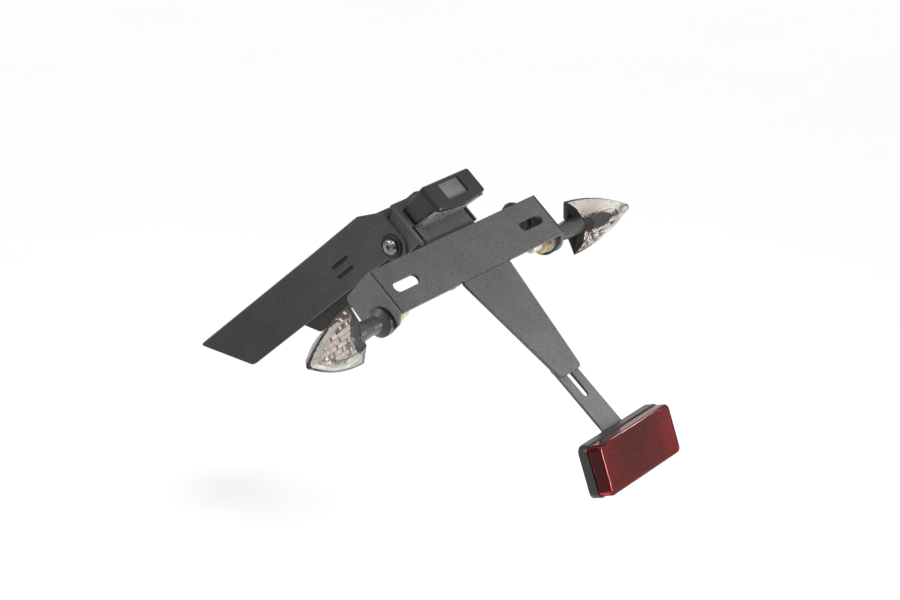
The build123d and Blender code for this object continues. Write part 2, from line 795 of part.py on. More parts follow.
def head_half(depth, top_share, top_prong, top_notch, inset):
    """Half of the head over the parting face, domed, with thin prongs and drawn in by an inset."""
    draw = 1 - inset / head_half_height
    first_prong = drawn(0, draw)
    first_notch = drawn(head_notch_depth, draw)
    sections = []
    for step in range(head_dome_steps + 1):
        narrowing = step / head_dome_steps
        rise = 1 - (1 - narrowing) ** head_dome_power
        share = draw * (1 - (1 - top_share) * narrowing)
        prong_x = first_prong + (top_prong + inset - first_prong) * rise
        prong_y = head_half_height * draw * (1 - (1 - head_prong_share) * rise)
        notch_x = first_notch + (top_notch + inset - first_notch) * rise
        sections.append(head_wire(share, (depth - inset) * rise, (prong_x, prong_y), notch_x))
    return loft(sections, ruled=True)


def head_front(inset):
    """The notched half of the head."""
    return head_half(head_front_depth, head_front_share, head_front_prong, head_front_notch, inset)


def head_back(inset):
    """The other half, whose inner edge runs nearly straight across."""
    return turned_over(head_half(head_rear_depth, head_rear_share, head_rear_prong, head_rear_notch, inset))


def notch_band(prong_x, notch_x):
    """Outline of a band along the notch."""
    high = head_half_height + cut_past
    return Polygon(
        (-cut_past, high),
        (prong_x, high),
        (notch_x, 0),
        (prong_x, -high),
        (-cut_past, -high),
        (-cut_past, 0),
        align=None,
    )


def dark_front():
    """Band along the notch and the spear over the lens, as a tall block."""
    spear = Polygon(
        (0, spear_half_width),
        (spear_shoulder, spear_half_width),
        (spear_length, 0),
        (spear_shoulder, -spear_half_width),
        (0, -spear_half_width),
        align=None,
    )
    return along_z(notch_band(prong_band / 2, head_notch_depth + prong_band) + spear, 0, 2 * head_front_depth)


def dark_back():
    """Inner wall of the other half, with a narrow edge on its face."""
    under = head_wall - head_rear_depth
    wall = along_z(notch_band(head_wall, head_notch_depth + head_wall), under, 0)
    return wall + along_z(notch_band(head_wall, head_rear_notch + head_wall), -2 * head_rear_depth, under)


def make_indicator_housing():
    """Black chevron of the head: its inner wall, its prongs and the spear."""
    front = (head_front(0) & dark_front()) - head_front(head_wall)
    back = (head_back(0) & dark_back()) - head_back(head_wall)
    return front + back


def make_indicator_lens():
    """Clear shell on the notched face of the head, round the spear."""
    return head_front(0) - head_front(head_wall) - dark_front()


def make_indicator_cover():
    """Clear shell over the whole of the other face."""
    return head_back(0) - head_back(head_wall) - dark_back()


def make_indicator_chrome():
    """Bright inner tray behind the cover."""
    inset = head_wall + side_play
    cup_depth = chrome_floor - chrome_thickness
    deep = slab(0, head_length, -head_half_height, head_half_height, -chrome_floor, 0)
    cup = slab(0, head_length, -head_half_height, head_half_height, -cup_depth, 0)
    return (head_back(inset) & deep) - (head_back(inset + chrome_thickness) & cup)


def make_indicator_bulb():
    """Capsule bulb lying in the bright tray."""
    start = head_front_notch + bulb_base_length / 2
    glass = rod(bulb_radius, start, start + bulb_length)
    glass = fillet(glass.edges().sort_by(Axis.X)[-1], bulb_round)
    glass += rod(bulb_base_radius, start - bulb_base_length / 2, start)
    return Pos(0, 0, bulb_radius - chrome_floor + chrome_thickness) * glass


def turned_over(shape):
    """The same head piece with its other face rearwards."""
    return mirror(shape, about=Plane.XY)


def make_indicator_stalk(head_solid):
    """Rubber stalk from the flange to the notch of the head."""
    end = indicator_root + head_notch_depth
    side = Polyline(
        (0, 0),
        (0, stalk_foot_radius),
        (stalk_foot_length, stalk_foot_radius),
        (stalk_foot_length + stalk_taper, stalk_waist_radius),
        (stalk_foot_length + stalk_taper + stalk_waist_length, stalk_waist_radius),
        (indicator_root - stalk_flare, stalk_end_radius),
        (end, stalk_end_radius),
        (end, 0),
        close=True,
    )
    stalk = revolve(make_face(side), Axis.X)
    stalk -= rod(stud_diameter / 2, -cut_past, stud_outer_length)
    return stem_frame * stalk - head_frame * head_solid


def make_indicator_stud():
    """Hollow threaded stem through the flange."""
    inner_end = -carrier_sheet - stud_inner_length
    stud = rod(stud_diameter / 2, inner_end, stud_outer_length) - rod(stud_bore / 2, -through, through)
    return stem_frame * stud


def ring(radius, x0, x1):
    """Washer round the threaded stem."""
    return rod(radius, x0, x1) - rod((stud_diameter + hole_clearance) / 2, -through, through)


washer_face = -carrier_sheet
spring_face = washer_face - stem_washer_thickness
nut_face = spring_face - spring_washer_thickness


def make_indicator_washer():
    """Plain washer on the inside of the flange."""
    return stem_frame * ring(stem_washer_radius, spring_face, washer_face)


def make_indicator_spring_washer():
    """Split spring washer under the nut."""
    washer = ring(spring_washer_radius, nut_face, spring_face)
    half_split = spring_washer_split / 2
    return stem_frame * (washer - slab(-through, through, 0, through, -half_split, half_split))


def make_indicator_nut():
    """Brass nut on the threaded stem."""
    nut = hex_rod(stem_nut_flats, nut_face - stem_nut_height, nut_face)
    return stem_frame * (nut - rod(stud_diameter / 2, -through, through))


plug_middle = neck_back - plug_thickness / 2


def make_lead(route, side):
    """Round lead along a route of straight runs, each corner turned as wide as its runs allow."""
    start = Vector(side * (bar_half_width - lead_start), -indicator_hole_drop, -indicator_hole_back)
    stops = [start, start - Vector(side * lead_run, 0, 0)]
    stops += [Vector(side * (bar_half_width - inward), up, out) for inward, up, out in route]
    stops.append(Vector(side * plug_half_spacing, plug_foot_up - plug_approach, plug_middle))
    stops.append(Vector(side * plug_half_spacing, plug_foot_up, plug_middle))
    radii = []
    for before, corner, after in zip(stops, stops[1:], stops[2:]):
        turn = math.radians((corner - before).get_angle(after - corner))
        shorter = min((corner - before).length, (after - corner).length)
        radii.append(lead_share * shorter / math.tan(turn / 2))
    print("lead corner radii", [round(radius, 1) for radius in radii])
    path = FilletPolyline(*stops, radius=radii)
    section = Plane(origin=path @ 0, z_dir=path % 0) * Circle(lead_diameter / 2)
    return carrier_frame * sweep(section, path=path)


def make_plug(side):
    """Plug that the lead ends in, seated on the back of the neck."""
    x = side * plug_half_spacing
    plug = slab(
        x - plug_width / 2,
        x + plug_width / 2,
        plug_foot_up,
        plug_foot_up + plug_length,
        neck_back - plug_thickness,
        neck_back,
    )
    return carrier_frame * fillet(plug.edges().filter_by(Axis.Y), plug_edge_radius)


whole_head = head_front(0) + head_back(0)

for node, shape in (
    ("main_bracket", make_main_bracket()),
    ("plate_carrier", make_plate_carrier()),
    ("neck_plate", make_neck_plate()),
    ("reflector_strip", make_reflector_strip()),
    ("strip_stud", make_strip_stud()),
    ("strip_washer", make_strip_washer()),
    ("strip_nut", make_strip_nut()),
    ("reflector_base", make_reflector_base()),
    ("reflector_lens", make_reflector_lens()),
    ("reflector_stud", make_reflector_stud()),
    ("reflector_washer", make_reflector_washer()),
    ("reflector_nut", make_reflector_nut()),
    ("lamp_body", make_lamp_body()),
    ("lamp_hood", make_lamp_hood()),
    ("lamp_window", make_lamp_window()),
    ("lamp_lens", make_lamp_lens()),
    ("lamp_gasket", make_lamp_gasket()),
    ("lamp_board", make_lamp_board()),
    ("lamp_leds", make_lamp_leds()),
    ("lamp_screws", make_lamp_screws()),
    ("indicator_lead_right", make_lead(right_lead_route, 1)),
    ("indicator_lead_left", make_lead(left_lead_route, -1)),
    ("lead_plug_right", make_plug(1)),
    ("lead_plug_left", make_plug(-1)),
    ("indicator_stalk_right", make_indicator_stalk(whole_head)),
    ("indicator_stalk_left", flipped(make_indicator_stalk(turned_over(whole_head)))),
):
    save(shape, node)

for node, shape in (
    ("indicator_housing", make_indicator_housing()),
    ("indicator_lens", make_indicator_lens()),
    ("indicator_cover", make_indicator_cover()),
    ("indicator_chrome", make_indicator_chrome()),
    ("indicator_bulb", make_indicator_bulb()),
):
    save(head_frame * shape, f"{node}_right")
    save(flipped(head_frame * turned_over(shape)), f"{node}_left")

for node, shape in (
    ("pivot_bolt", bolt_ready(make_pivot_bolt())),
    ("pivot_washer", bolt_ready(make_pivot_washer())),
    ("pivot_nut", bolt_ready(make_pivot_nut())),
    ("indicator_stud", make_indicator_stud()),
    ("indicator_washer", make_indicator_washer()),
    ("indicator_spring_washer", make_indicator_spring_washer()),
    ("indicator_nut", make_indicator_nut()),
):
    save(shape, f"{node}_right")
    save(flipped(shape), f"{node}_left")
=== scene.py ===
import json
import math

import bpy
from mathutils import Matrix, Vector


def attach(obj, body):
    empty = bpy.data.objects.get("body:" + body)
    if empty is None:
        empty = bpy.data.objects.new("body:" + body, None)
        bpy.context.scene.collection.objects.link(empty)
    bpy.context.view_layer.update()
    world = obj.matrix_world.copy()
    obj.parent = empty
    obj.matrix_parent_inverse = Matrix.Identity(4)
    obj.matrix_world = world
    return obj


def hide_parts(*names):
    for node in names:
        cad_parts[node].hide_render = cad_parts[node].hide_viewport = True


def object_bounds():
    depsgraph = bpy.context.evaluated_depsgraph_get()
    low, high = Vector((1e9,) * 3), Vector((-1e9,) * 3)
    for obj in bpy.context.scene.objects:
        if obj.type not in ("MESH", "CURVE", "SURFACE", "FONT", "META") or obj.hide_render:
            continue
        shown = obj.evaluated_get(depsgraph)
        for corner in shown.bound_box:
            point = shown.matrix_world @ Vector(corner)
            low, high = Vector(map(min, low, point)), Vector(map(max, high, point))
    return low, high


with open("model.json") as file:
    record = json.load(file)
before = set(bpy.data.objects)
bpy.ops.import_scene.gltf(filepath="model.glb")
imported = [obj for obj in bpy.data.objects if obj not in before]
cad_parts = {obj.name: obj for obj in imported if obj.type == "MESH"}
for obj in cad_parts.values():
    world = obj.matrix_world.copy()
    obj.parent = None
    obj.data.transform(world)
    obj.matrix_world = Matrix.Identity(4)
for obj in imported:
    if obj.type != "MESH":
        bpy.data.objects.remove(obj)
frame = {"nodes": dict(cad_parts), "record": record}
cad_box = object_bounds()
nodes = frame["nodes"]
scene = bpy.context.scene
rad = math.radians
MM = 0.001

# Angles and places that the solids are built from, in degrees and millimetres
bracket_slope = 41.7
mount_height = 36.0
mount_along = 132.0
carrier_lean = 49.8
pivot_up = 39.4
pivot_back = 25.3
bar_half_width = 110.0
bar_bottom = -19.5
tongue_bend = 1.2
sheet_back = -3.0
strip_bend_drop = 154.0
strip_stud_drop = 92.5
strip_front = -3.15
reflector_lean = 19.8
reflector_middle = -20.0
indicator_hole_drop = 13.0
indicator_hole_back = 18.2
indicator_lean = 16.0
indicator_sweep = 9.7
indicator_droop = 1.4
indicator_root = 31.0
head_length = 73.0
head_half_height = 22.5
head_notch_depth = 12.0
head_side_bulge = 4.2
head_tip_radius = 3.0
head_balance = 28.0


def leaning(degrees):
    """Directions up and out of a face that leans by that angle."""
    angle = rad(degrees)
    up = Vector((0, math.sin(angle), math.cos(angle)))
    out = Vector((0, -math.cos(angle), math.sin(angle)))
    return up, out


def direction(azimuth, elevation):
    """A direction that far round from forward and that far up, in degrees."""
    level = math.cos(rad(elevation))
    return Vector((
        math.sin(rad(azimuth)) * level,
        math.cos(rad(azimuth)) * level,
        math.sin(rad(elevation)),
    ))


def frame_at(origin, x, y, z):
    """Matrix of a frame with that origin and those axes."""
    return Matrix.Translation(origin) @ Matrix((x, y, z)).transposed().to_4x4()


def turned(degrees, axis):
    return Matrix.Rotation(rad(degrees), 4, axis)


def clamped(value):
    return max(0.0, min(1.0, value))


# The carrier's frame: x across, y up the crossbar, z out of its face
across = Vector((1, 0, 0))
bracket_up, bracket_out = leaning(bracket_slope)
carrier_up, carrier_out = leaning(carrier_lean)
pivot = mount_along * bracket_out - mount_height * bracket_up
bar_middle = pivot - pivot_up * carrier_up + pivot_back * carrier_out
carrier = frame_at(bar_middle, across, carrier_up, carrier_out)

# Frames of the tongue, the strip's foot and the right indicator's stem and head
tongue = carrier @ Matrix.Translation((0, bar_bottom, 0)) @ turned(-tongue_bend, "X")
foot_turn = carrier_lean + tongue_bend - reflector_lean
foot = tongue @ Matrix.Translation((0, -strip_bend_drop, strip_front)) @ turned(foot_turn, "X")
stem_point = carrier @ Vector((bar_half_width, -indicator_hole_drop, -indicator_hole_back))
stem = Matrix.Translation(stem_point)
head = frame_at(stem_point, across, *leaning(indicator_lean))
head = head @ Matrix.Translation((indicator_root, 0, 0))
head = head @ turned(-indicator_sweep, "Y") @ turned(-indicator_droop, "Z")
flip = Matrix.Diagonal((-1, 1, 1, 1))
turn_over = Matrix.Diagonal((1, 1, -1, 1))

# Camera, at the photograph's angle, in degrees and millimetres
camera_azimuth = 54.1
camera_elevation = 21.4
camera_distance = 1771.0
camera_lens = 92.0
camera_sensor = 36.0
camera_reach = 50000.0
aim_right = 16.25
aim_up = 37.34
right = Vector((math.cos(rad(camera_azimuth)), -math.sin(rad(camera_azimuth)), 0))
forward = direction(camera_azimuth, -camera_elevation)
upward = right.cross(forward)
place = bar_middle - aim_right * right - aim_up * upward - camera_distance * forward
camera_data = bpy.data.cameras.new("camera")
camera_data.lens = camera_lens
camera_data.sensor_width = camera_sensor
camera_data.clip_end = camera_reach * MM
camera = bpy.data.objects.new("camera", camera_data)
camera.matrix_world = frame_at(place * MM, right, upward, -forward)
scene.collection.objects.link(camera)
scene.camera = camera


# Node helpers
looks = {}


def new_look(name):
    """Start a material, keep it in looks, and give its nodes and shader."""
    material = bpy.data.materials.new(f"{name}_look")
    material.use_nodes = True
    looks[name] = material
    tree = material.node_tree
    return tree, tree.nodes["Principled BSDF"]


def add(tree, kind, **settings):
    """A new node. A setting that is no property of it goes to its input of that name."""
    node = tree.nodes.new(kind)
    for key, value in settings.items():
        if hasattr(node, key):
            setattr(node, key, value)
        else:
            node.inputs[key.replace("_", " ")].default_value = value
    return node


def coordinates(tree):
    return add(tree, "ShaderNodeTexCoord").outputs["Object"]


def noise(tree, coords, scale, detail=3.0, roughness=0.55):
    texture = add(tree, "ShaderNodeTexNoise", Scale=scale, Detail=detail, Roughness=roughness)
    tree.links.new(coords, texture.inputs["Vector"])
    return texture.outputs["Fac"]


def ramp(tree, value, dark, light, start=0.3, end=0.7):
    """Colours from dark to light, over the middle of a noise's range."""
    node = add(tree, "ShaderNodeValToRGB")
    stops = ((start, dark), (end, light))
    for element, (position, colour) in zip(node.color_ramp.elements, stops):
        element.position = position
        element.color = (*colour, 1.0)
    tree.links.new(value, node.inputs["Fac"])
    return node.outputs["Color"]


def spread(tree, value, low, high, start=0.0, end=1.0):
    """Numbers from low to high, as a value goes from start to end."""
    node = add(
        tree, "ShaderNodeMapRange", From_Min=start, From_Max=end, To_Min=low, To_Max=high
    )
    tree.links.new(value, node.inputs["Value"])
    return node.outputs["Result"]


def blend(tree, kind, first, second, share):
    node = add(tree, "ShaderNodeMix", data_type="RGBA", blend_type=kind, Factor=share)
    tree.links.new(first, node.inputs["A"])
    tree.links.new(second, node.inputs["B"])
    return node.outputs["Result"]


def paint(tree, shader, colour, grain, rough):
    """Give a shader its colour, and a roughness that follows a grain."""
    tree.links.new(colour, shader.inputs["Base Color"])
    tree.links.new(spread(tree, grain, *rough), shader.inputs["Roughness"])


def bump(tree, shader, height, strength, depth):
    """Relief of a depth in millimetres."""
    node = add(tree, "ShaderNodeBump", Strength=strength, Distance=depth * MM)
    tree.links.new(height, node.inputs["Height"])
    tree.links.new(node.outputs["Normal"], shader.inputs["Normal"])


def grey(level):
    return (level, level, level)


# Materials. A noise's scale counts its grains in a metre.
plain_specular = 0.5
plating_fineness = 14
moulding_coarseness = 12
# Where the stalk's black foot ends and where its painted highlight is full, in millimetres out
# from the bar's end
stalk_black_to = 5.0
stalk_painted_light_from = 11.0


def powder_coat(name):
    tree, shader = new_look(name)
    coords = coordinates(tree)
    grain = noise(tree, coords, scale=820.0, detail=2.0)
    cloud = noise(tree, coords, scale=28.0, detail=4.0)
    tint = ramp(tree, cloud, (0.074, 0.073, 0.071), (0.094, 0.093, 0.090))
    speckle = ramp(tree, grain, grey(0.28), grey(0.70), start=0.35, end=0.65)
    colour = blend(tree, "OVERLAY", tint, speckle, share=0.55)
    paint(tree, shader, colour, grain, rough=(0.46, 0.62))
    shader.inputs["Specular IOR Level"].default_value = 0.2
    bump(tree, shader, grain, strength=0.40, depth=0.10)


def plated(name, dark, light, rough, scale):
    tree, shader = new_look(name)
    coords = coordinates(tree)
    cloud = noise(tree, coords, scale, detail=5.0)
    fine = noise(tree, coords, scale * plating_fineness, detail=2.0)
    paint(tree, shader, ramp(tree, cloud, dark, light), fine, rough)
    shader.inputs["Metallic"].default_value = 1.0
    bump(tree, shader, fine, strength=0.12, depth=0.04)


def moulded(name, dark, light, rough, scale, depth, specular=plain_specular):
    tree, shader = new_look(name)
    coords = coordinates(tree)
    cloud = noise(tree, coords, scale / moulding_coarseness)
    grain = noise(tree, coords, scale, detail=2.0)
    paint(tree, shader, ramp(tree, cloud, dark, light), grain, rough)
    shader.inputs["Specular IOR Level"].default_value = specular
    bump(tree, shader, grain, strength=0.3, depth=depth)


def clear(name, dark, light, rough, index, through=1.0, glint=grey(1.0)):
    tree, shader = new_look(name)
    cloud = noise(tree, coordinates(tree), scale=45.0)
    paint(tree, shader, ramp(tree, cloud, dark, light), cloud, rough)
    shader.inputs["Transmission Weight"].default_value = through
    shader.inputs["IOR"].default_value = index
    shader.inputs["Specular Tint"].default_value = (*glint, 1.0)


def optic(name, scale, share, dark, rough, metallic, specular=plain_specular):
    """A bright dish or prism, in the tints that its piece carries, which hold painted shade and
    light.
    """
    tree, shader = new_look(name)
    tint = add(tree, "ShaderNodeAttribute", attribute_name="tint")
    cloud = noise(tree, coordinates(tree), scale)
    shade = ramp(tree, cloud, grey(dark), grey(1.0))
    colour = blend(tree, "MULTIPLY", tint.outputs["Color"], shade, share)
    paint(tree, shader, colour, cloud, rough)
    shader.inputs["Metallic"].default_value = metallic
    shader.inputs["Specular IOR Level"].default_value = specular


def stalk_rubber(name):
    """Rubber that is black at its foot, with a painted highlight that makes its neck greyer."""
    tree, shader = new_look(name)
    coords = coordinates(tree)
    parts = add(tree, "ShaderNodeSeparateXYZ")
    tree.links.new(coords, parts.inputs["Vector"])
    out = add(tree, "ShaderNodeMath", operation="ABSOLUTE")
    tree.links.new(parts.outputs["X"], out.inputs[0])
    black_to = (bar_half_width + stalk_black_to) * MM
    painted_light_from = (bar_half_width + stalk_painted_light_from) * MM
    along = spread(tree, out.outputs[0], low=0.0, high=1.0, start=black_to, end=painted_light_from)
    # Painted highlight: the neck is painted greyer than the black foot, where light falls on it
    shade = ramp(tree, along, grey(0.006), grey(0.034), start=0.0, end=1.0)
    grain = noise(tree, coords, scale=700.0)
    speckle = ramp(tree, grain, grey(0.35), grey(0.65))
    colour = blend(tree, "OVERLAY", shade, speckle, share=0.5)
    paint(tree, shader, colour, grain, rough=(0.24, 0.36))
    bump(tree, shader, grain, strength=0.3, depth=0.05)


powder_coat("black_coat")
stalk_rubber("stalk_rubber")
plated("zinc_steel", grey(0.40), (0.56, 0.55, 0.53), rough=(0.30, 0.45), scale=90.0)
plated("bolt_steel", grey(0.04), (0.36, 0.355, 0.35), rough=(0.16, 0.26), scale=260.0)
plated("dark_washer", grey(0.018), grey(0.050), rough=(0.34, 0.46), scale=160.0)
plated("brass_nut", (0.42, 0.30, 0.15), (0.60, 0.45, 0.24), rough=(0.25, 0.40), scale=120.0)
plated("bright_chrome", (0.78, 0.76, 0.74), (0.90, 0.88, 0.86), rough=(0.06, 0.14), scale=80.0)
moulded(
    "black_plastic", grey(0.007), grey(0.012), rough=(0.30, 0.44), scale=1400.0, depth=0.04
)
moulded(
    "hood_plastic", grey(0.010), grey(0.019), rough=(0.18, 0.28), scale=1100.0, depth=0.04,
    specular=0.3,
)
moulded("black_rubber", grey(0.010), grey(0.018), rough=(0.40, 0.54), scale=900.0, depth=0.06)
moulded("lead_sheath", grey(0.008), grey(0.016), rough=(0.42, 0.56), scale=700.0, depth=0.05)
moulded(
    "circuit_board", (0.02, 0.09, 0.035), (0.03, 0.13, 0.05), rough=(0.3, 0.5), scale=600.0,
    depth=0.03,
)
moulded(
    "lamp_pane", grey(0.06), (0.165, 0.157, 0.148), rough=(0.10, 0.22), scale=500.0, depth=0.03
)
clear("clear_lens", (0.67, 0.65, 0.63), (0.77, 0.755, 0.74), rough=(0.0, 0.04), index=1.28)
clear("milky_lens", grey(0.46), grey(0.60), rough=(0.10, 0.20), index=1.49, through=0.80)
clear(
    "red_lens", (0.42, 0.014, 0.013), (0.56, 0.026, 0.022), rough=(0.0, 0.02), index=1.38,
    through=0.99, glint=(0.9, 0.42, 0.42),
)
clear("bulb_glass", (0.85, 0.42, 0.10), (0.95, 0.55, 0.18), rough=(0.0, 0.05), index=1.5)
clear("led_resin", (0.92, 0.92, 0.86), (0.98, 0.98, 0.94), rough=(0.02, 0.10), index=1.5)
optic("reflector_optic", scale=60.0, share=0.4, dark=0.55, rough=(0.22, 0.36), metallic=0.75)
optic(
    "indicator_optic", scale=90.0, share=0.3, dark=0.7, rough=(0.18, 0.32), metallic=0.12,
    specular=0.2,
)

# Each solid wears its slot's look, apart from a few that have one of their own
slot_of = {entry["node"]: entry["material_slot"] for entry in frame["record"]["subparts"]}
own_look = {
    "lamp_window": "lamp_pane",
    "lamp_hood": "hood_plastic",
    "lamp_lens": "milky_lens",
    "pivot_washer_right": "dark_washer",
    "pivot_washer_left": "dark_washer",
    "indicator_stalk_right": "stalk_rubber",
    "indicator_stalk_left": "stalk_rubber",
}
for name, node in nodes.items():
    node.data.materials.clear()
    node.data.materials.append(looks[own_look.get(name, slot_of[name])])

# Edges of sheets, mouldings and the red lens, in millimetres and degrees
weld_reach = 0.002
edge_angle = 40.0
sheet_edge = 0.45
moulding_edge = 0.7
lens_edge = 0.9


def soften(name, width, segments=2):
    """Round the edges of a solid a little, or chamfer them with one segment."""
    weld = nodes[name].modifiers.new("weld", "WELD")
    weld.merge_threshold = weld_reach * MM
    edge = nodes[name].modifiers.new("edge", "BEVEL")
    edge.width = width * MM
    edge.segments = segments
    edge.limit_method = "ANGLE"
    edge.angle_limit = rad(edge_angle)
    edge.harden_normals = segments > 1


for sheet in ("main_bracket", "plate_carrier", "neck_plate", "reflector_strip"):
    soften(sheet, sheet_edge)
for moulding in ("lamp_hood", "lamp_body", "reflector_base"):
    soften(moulding, moulding_edge)
soften("reflector_lens", lens_edge, segments=1)


# Pieces. Each is drawn in millimetres in a frame of its own and rides on a body.
def piece(name, points, faces, place, look, body, tints=None, smooth=None):
    mesh = bpy.data.meshes.new(name)
    flipped = place.determinant() < 0
    placed = [(place @ Vector(point)) * MM for point in points]
    mesh.from_pydata(placed, [], [tuple(reversed(face)) if flipped else face for face in faces])
    if tints:
        colours = mesh.color_attributes.new("tint", "FLOAT_COLOR", "POINT")
        for index, tint in enumerate(tints):
            colours.data[index].color = (*tint, 1.0)
    mesh.validate()
    mesh.update()
    if smooth:
        mesh.shade_smooth()
        mesh.set_sharp_from_angle(angle=rad(smooth))
    mesh.materials.append(looks[look])
    made = bpy.data.objects.new(name, mesh)
    scene.collection.objects.link(made)
    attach(made, body)
    return made


def bands(count, rings, closed=False):
    """Faces from each ring of points to the next, and from the last to the first if closed."""
    faces = []
    for ring in range(rings if closed else rings - 1):
        low = ring * count
        high = (ring + 1) % rings * count
        for index in range(count):
            after = (index + 1) % count
            faces.append((low + index, low + after, high + after, high + index))
    return faces


chance_steps = (12.9898, 78.233)
chance_scale = 43758.5453


def chance(first, second):
    """A repeatable number from 0 to 1 for a pair of whole numbers."""
    value = math.sin(first * chance_steps[0] + second * chance_steps[1]) * chance_scale
    return value - math.floor(value)


def arc(start, middle, end, count):
    """Points along the circle through three points, without its last one."""
    (ax, ay), (bx, by), (cx, cy) = start, middle, end
    a, b, c = ax**2 + ay**2, bx**2 + by**2, cx**2 + cy**2
    d = 2 * (ax * (by - cy) + bx * (cy - ay) + cx * (ay - by))
    ux = (a * (by - cy) + b * (cy - ay) + c * (ay - by)) / d
    uy = (a * (cx - bx) + b * (ax - cx) + c * (bx - ax)) / d
    radius = math.hypot(ax - ux, ay - uy)
    first = math.atan2(ay - uy, ax - ux)
    last = math.atan2(cy - uy, cx - ux)
    sweep = (last - first + math.pi) % (2 * math.pi) - math.pi
    angles = [first + sweep * index / count for index in range(count)]
    return [(ux + radius * math.cos(angle), uy + radius * math.sin(angle)) for angle in angles]


# Outline of an indicator head
side_steps = 120
tip_steps = 12
notch_steps = 24


def head_outline():
    """Points from the upper prong round the tip to the lower prong and the notch."""
    side_mid = (head_length / 2 + head_side_bulge, head_half_height / 2 + head_side_bulge)
    tip_x = head_length - head_tip_radius
    tip_top = (tip_x, head_tip_radius)
    tip_foot = (tip_x, -head_tip_radius)
    upper = arc((0, head_half_height), side_mid, tip_top, side_steps)
    tip = arc(tip_top, (head_length, 0), tip_foot, tip_steps)
    lower = [(x, -y) for x, y in reversed(upper[1:])]
    shares = [index / notch_steps for index in range(notch_steps)]
    into = [(head_notch_depth * share, -head_half_height * (1 - share)) for share in shares]
    back = [(head_notch_depth * (1 - share), head_half_height * share) for share in shares]
    return upper + tip + [tip_foot] + lower + into + back


def drawn_in(x, y, share):
    """A point of the outline drawn in towards the head's balance point."""
    return head_balance + (x - head_balance) * share, y * share


def height_at(x):
    """Half height of the head at a place along it, near enough for choosing a tint."""
    share = clamped(x / head_length)
    bulge = 4 * head_side_bulge * share * (1 - share)
    return head_half_height * (1 - share) + bulge + head_tip_radius * share


# Indicator optics: a bright dish of small cushions behind each face, and a black rim between
outline = head_outline()
heads = (("right", head), ("left", flip @ head @ turn_over))
optic_sharp = 30.0
cushion_wide = 3.0
cushion_high = 3.6
cushion_rise = 0.6
cushion_end = 0.84
cushion_fade = 0.08
# Level of the painted shade in the grooves between cushions
groove_painted_shade = 0.5
groove_narrowing = 2.2
dish_steps = 70
dish_share = 0.922
front_floor = -1.7
front_rim = 0.4
front_power = 2
back_floor = -4.4
back_rim = -0.2
back_power = 4
rim_outer = 0.985
rim_inner = 0.932
rim_section = [(rim_outer, -1), (rim_outer, 1), (rim_inner, 1), (rim_inner, -1)]
rim_half = 0.6
rim_tip_half = 1.2
rim_tip_start = 62.0

# Colours of the dishes, and the shares of the head and of the cushions that have them
pink_white = (0.95, 0.86, 0.80)
cream = (0.97, 0.94, 0.86)
cream_green = (0.42, 0.41, 0.325)
warm_brown = (0.15, 0.11, 0.09)
beige_grey = (0.18, 0.16, 0.14)
tip_grey = (0.17, 0.165, 0.16)
cream_from = 0.3
cream_blend = 2.0
tip_from = 0.86
front_brown = 0.34
top_from = 0.52
top_brown = 0.72
foot_to = -0.46
foot_green_to = 0.38
back_brown = 0.30


def wave(x, y):
    """Height of the cushions, from 0 in the grooves to 1 in the middles."""
    return abs(math.sin(math.pi * x / cushion_wide) * math.sin(math.pi * y / cushion_high))


def cushion(x, y, share):
    return cushion_rise * wave(x, y) * clamped((cushion_end - share) / cushion_fade)


def above_cream(x, y):
    """How far a point lies inside the front's plain cream part."""
    return y - cream_from * height_at(x)


def front_level(x, y, share):
    dish = front_floor + (front_rim - front_floor) * (share / dish_share) ** front_power
    return dish + cushion(x, y, share) * (1 - clamped(above_cream(x, y) / cream_blend))


def back_level(x, y, share):
    dish = back_floor + (back_rim - back_floor) * (share / dish_share) ** back_power
    return dish - cushion(x, y, share)


def shaded(colour, level):
    return tuple(part * level for part in colour)


def varied(colour, pick, least, gain=1.0):
    """A colour whose level differs from cushion to cushion."""
    return shaded(colour, least + gain * pick)


def pick_at(x, y):
    """The chance number of the cushion at a point."""
    return chance(math.floor(x / cushion_wide), math.floor(y / cushion_high))


def front_tint(x, y):
    """Cream above, warm cushions below and a grey tip, as the notched face shows."""
    pick = pick_at(x, y)
    if x > tip_from * head_length:
        return varied(tip_grey, pick, least=0.7, gain=0.6)
    if above_cream(x, y) > 0:
        return cream
    if pick < front_brown:
        return varied(warm_brown, pick, least=0.8)
    return varied(pink_white, pick, least=0.55, gain=0.45)


def back_tint(x, y):
    """Brown on top, pinkish white cushions, then cream and grey, as the whole face shows."""
    pick = pick_at(x, y)
    share = y / height_at(x)
    if share > top_from:
        colour = warm_brown if pick < top_brown else pink_white
        return varied(colour, pick, least=0.75, gain=0.4)
    if share < foot_to:
        colour = cream_green if x < foot_green_to * head_length else beige_grey
        return varied(colour, pick, least=0.92, gain=0.1)
    if pick < back_brown:
        return varied(warm_brown, pick, least=1.2)
    return varied(pink_white, pick, least=0.62, gain=0.38)


def make_dish(name, level, tint, has_cream, turn_faces):
    count = len(outline)
    points = []
    for step in range(1, dish_steps + 1):
        share = dish_share * step / dish_steps
        for corner in outline:
            x, y = drawn_in(*corner, share)
            points.append((x, y, level(x, y, share)))
    middle = len(points)
    points.append((head_balance, 0, level(head_balance, 0, 0)))
    faces = bands(count, dish_steps)
    faces += [(middle, (index + 1) % count, index) for index in range(count)]
    faces = [face[::-1] for face in faces] if turn_faces else faces
    tints = []
    for x, y, _ in points:
        # Painted shade: the tints are darkened in the grooves between cushions, except on the
        # front's plain cream part
        painted_shade_level = groove_painted_shade + (1 - groove_painted_shade) * min(1.0, groove_narrowing * wave(x, y))
        plain = has_cream and above_cream(x, y) > 0
        tints.append(shaded(tint(x, y), 1.0 if plain else painted_shade_level))
    for side, place in heads:
        piece(
            f"{name}_{side}", points, faces, place, "indicator_optic", "carrier",
            tints, optic_sharp,
        )


